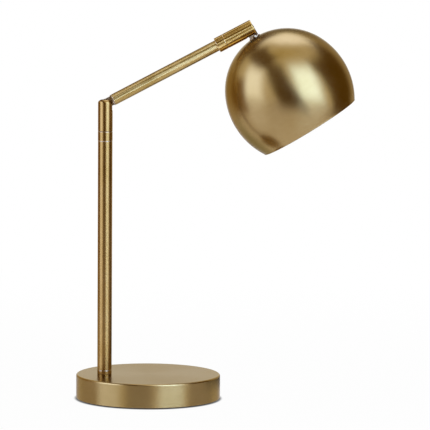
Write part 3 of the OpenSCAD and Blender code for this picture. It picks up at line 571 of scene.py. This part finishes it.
zinc = speckled("zinc_plate", (0.50, 0.51, 0.51), (0.66, 0.66, 0.63), 0.36, 1100, 0.00001, metallic=1.0)
coat(zinc, "stem_nipple", "stem_washer", "stem_nut")
flex_black = speckled("flex_sheath", (0.018, 0.018, 0.018), (0.03, 0.03, 0.03), 0.5, 900, 0.00002)
coat(flex_black, "stem_flex")

# ---- Head -------------------------------------------------------------------------------------------
# A turned collar pressed in the tube, and above it the head: a solid brass rod end that swivels on a
# hollow nipple, slotted across for the arm's tongue, with a socket screw through its two cheeks.

swivel_z, collar_r, collar_bore_r, collar_foot = 297.0, 8.1, 5.05, tube_top - 12
collar = turned("head_band", outline([(collar_bore_r, collar_foot, crisp),
                                      (spigot_r, collar_foot, spigot_edge),
                                      (spigot_r, tube_top, seat_edge), (collar_r, tube_top, eased),
                                      (collar_r, swivel_z, eased),
                                      (collar_bore_r, swivel_z, crisp)]), at_stem)
dress(collar, "base", "satin_brass", stem_spun, "head_collar")
coat(stem_spun, "head_knuckle", "head_pivot_screw")
coat(zinc, "head_stop_pin", "head_nipple", "head_ring_nut")
spring_steel = speckled("spring_steel", (0.30, 0.30, 0.31), (0.42, 0.41, 0.40), 0.4, 900, 0.00001,
                        metallic=1.0)
coat(spring_steel, "head_spring_washer")
nylon = speckled("natural_nylon", (0.74, 0.72, 0.66), (0.80, 0.78, 0.73), 0.45, 600, 0.00001)
coat(nylon, "head_side_washers")

# ---- Arm --------------------------------------------------------------------------------------------
# A nickel-plated tongue with a round end, pressed in a drawn brass tube that is brushed lengthwise. It
# slopes up from the head's pivot.

pivot_z, arm_rise = 327.2, 28.0


def along_arm(s):
    """Turns +Z along the arm and puts the origin s millimetres from the head's pivot."""
    pivot = Matrix.Translation((stem_x * mm, 0, pivot_z * mm))
    return pivot @ Matrix.Rotation(radians(90 - arm_rise), 4, "Y") @ Matrix.Translation((0, 0, s * mm))


arm_s, arm_len, arm_r, arm_bore_r = 10.2, 134.9, 6.25, 5.35
# The arm's brass is a brighter copy of the shade's brass. This is painted light, for the light that falls on
# the arm.
arm_brass_painted_lit = satin_brass("satin_brass_arm_painted_lit", along_arm(0), drawn_lines, 600.0, 5.0, roughness=0.32,
                        stretched=0.9, show=2.0, colour=(0.78, 0.55, 0.20), toned=(0.40, 0.25, 0.06),
                        worn=(0.9, 0.8, 0.62))
arm = turned("arm_pipe", outline([(arm_bore_r, 0, crisp), (arm_r, 0, eased), (arm_r, arm_len, eased),
                                  (arm_bore_r, arm_len, crisp)]), along_arm(arm_s))
dress(arm, "arm", "satin_brass", arm_brass_painted_lit, "arm_tube")
# The plated tongues are coloured a dark warm brown instead of bright nickel. This is painted shade for necks
# that sit in shade between the parts, warmed against the bluish cards.
nickel = speckled("nickel_painted_shade", (0.40, 0.30, 0.175), (0.44, 0.335, 0.20), 0.26, 2500, 0.000001,
                  metallic=1.0)
coat(nickel, "arm_tongue")
coat(flex_black, "arm_flex")

# ---- Barrel -----------------------------------------------------------------------------------------
# A wider turned collar pushed over the arm's end, and the barrel that swivels on it: a second slotted
# knuckle, which carries the shade's neck.

barrel_s, barrel_r, socket_r, socket_end, collar_end, nipple_hole_r = 149.4, 8.5, 6.27, -4.3, -10.3, 3.55
# The barrel's brass is a still brighter copy of the shade's brass. This is painted light, for the light that
# falls on the barrel.
barrel_brass_painted_lit = satin_brass("satin_brass_barrel_painted_lit", along_arm(0), drawn_lines, 500.0, 5.0, roughness=0.2,
                       stretched=0.7, show=2.0, colour=(0.95, 0.66, 0.22), toned=(0.46, 0.27, 0.05),
                       worn=(0.8, 0.68, 0.45))
barrel_band = turned("barrel_band", outline([(socket_r, collar_end, crisp), (barrel_r, collar_end, eased),
                                             (barrel_r, 0, eased), (nipple_hole_r, 0, crisp),
                                             (nipple_hole_r, socket_end, crisp),
                                             (socket_r, socket_end, crisp)]), along_arm(barrel_s))
dress(barrel_band, "arm", "satin_brass", barrel_brass_painted_lit, "barrel_collar")
coat(barrel_brass_painted_lit, "barrel_knuckle", "barrel_pivot_screw")
coat(zinc, "barrel_stop_pin", "barrel_nipple", "barrel_ring_nut")
coat(spring_steel, "barrel_spring_washer")
coat(nylon, "barrel_side_washers")

# ---- Shade ------------------------------------------------------------------------------------------
# A deep dome spun from 0.8 mm brass sheet, its rim rolled inwards to a bead, held by a nut on the
# threaded end of a plated neck. It is satin brushed round its axis, inside and out.

shade_s, shade_fall = 179.0, 58.0
down_shade = along_arm(shade_s) @ Matrix.Rotation(radians(arm_rise + shade_fall), 4, "Y")
neck_hole_r, seat_r, seat_z, crown_r, crown_z = 5.2, 6.4, 11.6, 68.7, 79.94
side_r, side_ease, widest_z, rim_z, bead_d, shade_wall = 80.2, 10.2, 85.25, 127.75, 1.8, 0.8
meet = atan2(widest_z - crown_z, side_ease)


def dome_wall(inset, low, count):
    """The dome's half section from its flat seat down to low, moved inwards by inset: an arc of the
    crown's radius about crown_z on the axis, then one of the side's radius about a point side_ease
    beyond the axis, which share their tangent where they meet."""
    r = crown_r - inset
    t = np.linspace(acos((crown_z - seat_z - inset) / r), pi / 2 - meet, count)
    crown = np.stack([r * np.sin(t), crown_z - r * np.cos(t)], 1)
    r = side_r - inset
    t = np.linspace(-meet, asin((low - widest_z) / r), count)[1:]
    return np.vstack([crown, np.stack([r * np.cos(t) - side_ease, widest_z + r * np.sin(t)], 1)])


bead_z = rim_z - bead_d / 2
bead_r = sqrt(side_r ** 2 - (bead_z - widest_z) ** 2) - side_ease - bead_d / 2
bead_from, bead_to = 15, 262
t = np.radians(np.linspace(bead_from, bead_to, 20))
bead = np.stack([bead_r + bead_d / 2 * np.cos(t), bead_z + bead_d / 2 * np.sin(t)], 1)
outside = np.vstack([[[neck_hole_r, seat_z], [seat_r, seat_z]], dome_wall(0, bead_z, 48)])
inside = np.vstack([dome_wall(shade_wall, bead_z - bead_d / 2, 30)[::-1][1:],
                    [[neck_hole_r, seat_z + shade_wall]]])
on_bead = np.concatenate([np.zeros(len(outside)), np.ones(len(bead)), np.zeros(len(inside))])
section = np.column_stack([np.vstack([outside, bead, inside]), on_bead])
dome = turned("shade", section, down_shade, around=288)
shade_brass = satin_brass("satin_brass_shade", down_shade, spun_lines, 1500.0, 40.0, roughness=0.245,
                          stretched=0.25, depth=0.0000005, show=0.2)
dress(dome, "shade", "satin_brass", shade_brass, "shade_dome")
# The neck gets the same nickel, painted dark for shade.
coat(nickel, "shade_tongue")

# ---- Lampholder -------------------------------------------------------------------------------------
# A pressed brass cup hides the holder: a black moulded body on the neck's thread, with an insulating
# core, a screw shell and a centre contact.

cup_z, cup_r, cup_h, cup_wall, cup_round, lip_edge = 13.6, 17.0, 42.0, 0.8, 6.0, 0.2
cup_end, cup_inside_r, cup_inside_z = cup_z + cup_h, cup_r - cup_wall, cup_z + cup_wall
cup = turned("holder_cover", outline([(neck_hole_r, cup_z, crisp), (cup_r, cup_z, cup_round),
                                      (cup_r, cup_end, lip_edge), (cup_inside_r, cup_end, lip_edge),
                                      (cup_inside_r, cup_inside_z, cup_round - cup_wall),
                                      (neck_hole_r, cup_inside_z, crisp)], steps=10), down_shade)
cup_brass = satin_brass("satin_brass_cup", down_shade, spun_lines, 1600.0, 40.0, roughness=0.28,
                        stretched=0.4)
dress(cup, "shade", "satin_brass", cup_brass, "holder_cup")
coat(zinc, "holder_washer", "holder_nut")
holder_black = speckled("moulded_black", (0.015, 0.015, 0.015), (0.024, 0.024, 0.024), 0.42, 500, 0.00001)
coat(holder_black, "holder_body")
glazed = speckled("glazed_insulator", (0.78, 0.76, 0.71), (0.84, 0.82, 0.77), 0.2, 300, 0.00001)
coat(glazed, "holder_core")
pressed_brass = speckled("pressed_brass", (0.60, 0.42, 0.16), (0.72, 0.54, 0.25), 0.3, 900, 0.00001,
                         metallic=1.0)
coat(pressed_brass, "holder_shell", "holder_contact")
coat(flex_black, "holder_flex")

# ---- Bulb -------------------------------------------------------------------------------------------
# A small globe bulb of opal glass on a pressed aluminium screw cap with a black glass insulator.

cap_metal = speckled("pressed_cap", (0.62, 0.62, 0.61), (0.74, 0.74, 0.73), 0.28, 900, 0.00001,
                     metallic=1.0)
coat(cap_metal, "bulb_cap", "bulb_contact")
black_glass = speckled("black_insulator", (0.012, 0.012, 0.013), (0.02, 0.02, 0.021), 0.15, 400, 0.000005)
coat(black_glass, "bulb_insulator")
opal = speckled("opal_glass", (0.86, 0.85, 0.81), (0.90, 0.89, 0.86), 0.14, 60, 0.000002)
coat(opal, "bulb_globe")
